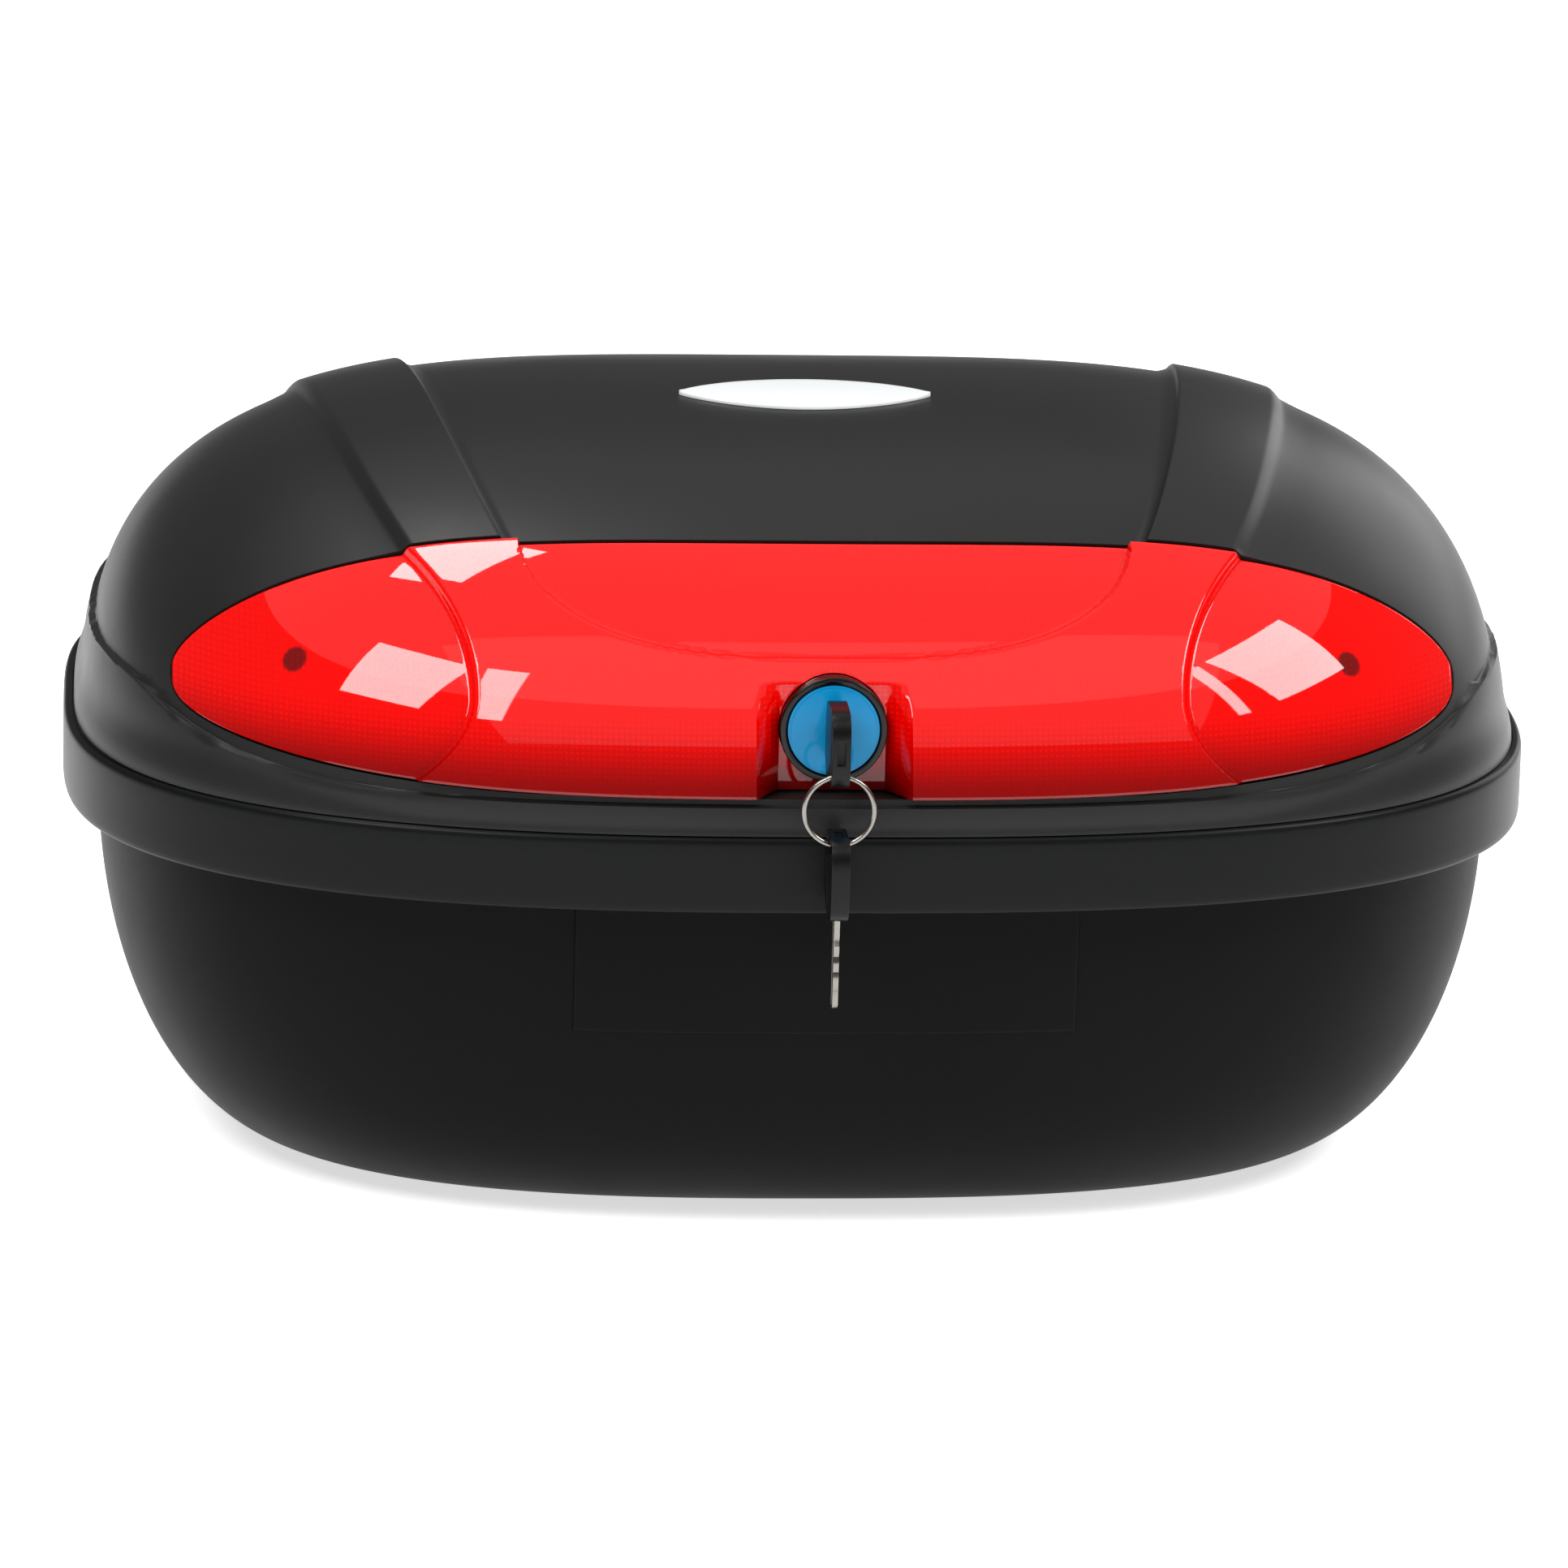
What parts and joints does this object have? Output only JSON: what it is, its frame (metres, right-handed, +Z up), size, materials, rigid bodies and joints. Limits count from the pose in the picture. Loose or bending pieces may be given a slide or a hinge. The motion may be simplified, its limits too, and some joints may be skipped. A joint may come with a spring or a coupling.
{
  "type": "motorcycle top case",
  "caption": "Oval hard top case with a domed hinged lid, wide red rear lens, key lock, rim band and a quick-release mounting plate.",
  "frame": {"origin": "on the underside of the mounting plate, on the case's centre plane, under the middle of the rim band", "axes": "+Z up out of the tub towards the lid; +Y towards the hinges and the rider; +X across the case"},
  "size_m": [0.585, 0.4805, 0.3038],
  "materials": {
    "tub_plastic": "moulded ABS, satin near-black",
    "band_plastic": "moulded polypropylene, fine grain, near-black",
    "seal_rubber": "extruded EPDM, black",
    "hinge_plastic": "glass-filled nylon, black",
    "steel": "turned steel",
    "screw_steel": "zinc-plated steel",
    "zinc_steel": "pressed steel, zinc plated",
    "plate_plastic": "glass-filled nylon, black, matte",
    "release_plastic": "moulded nylon, red",
    "spring_steel": "spring wire",
    "lid_plastic": "moulded ABS, satin charcoal",
    "lens_plastic": "moulded PMMA, red, gloss",
    "reflector_plastic": "metallised prism sheet",
    "boss_steel": "steel with dark caps",
    "badge_plastic": "moulded ABS, white, gloss",
    "lock_plastic": "moulded nylon, black, gloss",
    "plug_plastic": "blue lock face",
    "key_plastic": "moulded key head, black",
    "blade_steel": "nickel-plated brass",
    "ring_steel": "nickel-plated spring steel"
  },
  "bodies": {
    "tub": {"tub_shell": "tub_plastic", "rim_band": "band_plastic", "rim_seal": "seal_rubber", "hinge_bracket_left": "hinge_plastic", "hinge_bracket_right": "hinge_plastic", "hinge_pin_left": "steel", "hinge_pin_right": "steel", "hinge_screws_lower": "screw_steel", "striker": "zinc_steel", "striker_screws": "screw_steel", "mounting_plate": "plate_plastic", "release_housing": "plate_plastic", "release_screws": "screw_steel", "release_spring": "spring_steel"},
    "lid": {"lid_shell": "lid_plastic", "lens": "lens_plastic", "lens_reflector": "reflector_plastic", "lens_screws": "boss_steel", "lid_badge": "badge_plastic", "hinge_leaf_left": "hinge_plastic", "hinge_leaf_right": "hinge_plastic", "hinge_screws_upper": "screw_steel", "lock_body": "lock_plastic", "lock_nut": "steel", "latch_bracket": "zinc_steel", "latch_pin": "steel", "latch_spring": "spring_steel"},
    "hook": {"latch_hook": "zinc_steel"},
    "plug": {"lock_plug": "plug_plastic", "lock_cam": "zinc_steel", "cam_screw": "screw_steel"},
    "key": {"key_head": "key_plastic", "key_blade": "blade_steel"},
    "ring": {"key_ring": "ring_steel"},
    "spare_key": {"spare_key_head": "key_plastic", "spare_key_blade": "blade_steel"},
    "tongue": {"release_tongue": "release_plastic"}
  },
  "joints": [
    {"name": "lid_hinge", "type": "hinge", "parent": "tub", "child": "lid", "pos_m": [0, 0.224, 0.171], "axis": [-1, 0, 0], "range_deg": [0, 85]},
    {"name": "lock_turn", "type": "hinge", "parent": "lid", "child": "plug", "pos_m": [0, -0.2, 0.207], "axis": [0, 1, 0], "range_deg": [0, 90]},
    {"name": "hook_turn", "type": "hinge", "parent": "lid", "child": "hook", "pos_m": [0, -0.168, 0.189], "axis": [-1, 0, 0], "range_deg": [0, 20]},
    {"name": "key_pull", "type": "slide", "parent": "plug", "child": "key", "axis": [0, -1, 0], "range_m": [0, 0.038]},
    {"name": "ring_swing", "type": "hinge", "parent": "key", "child": "ring", "pos_m": [0, -0.235, 0.197], "axis": [-1, 0, 0], "range_deg": [0, 60]},
    {"name": "spare_swing", "type": "hinge", "parent": "ring", "child": "spare_key", "pos_m": [0, -0.235, 0.1704], "axis": [-1, 0, 0], "range_deg": [0, 50]},
    {"name": "release_pull", "type": "slide", "parent": "tub", "child": "tongue", "axis": [0, -1, 0], "range_m": [0, 0.012], "stiffness_N_per_m": 800, "deforming": ["release_spring"]}
  ],
  "couplings": [
    {"joint": "hook_turn", "follows": "lock_turn", "ratio": 0.22222}
  ]
}
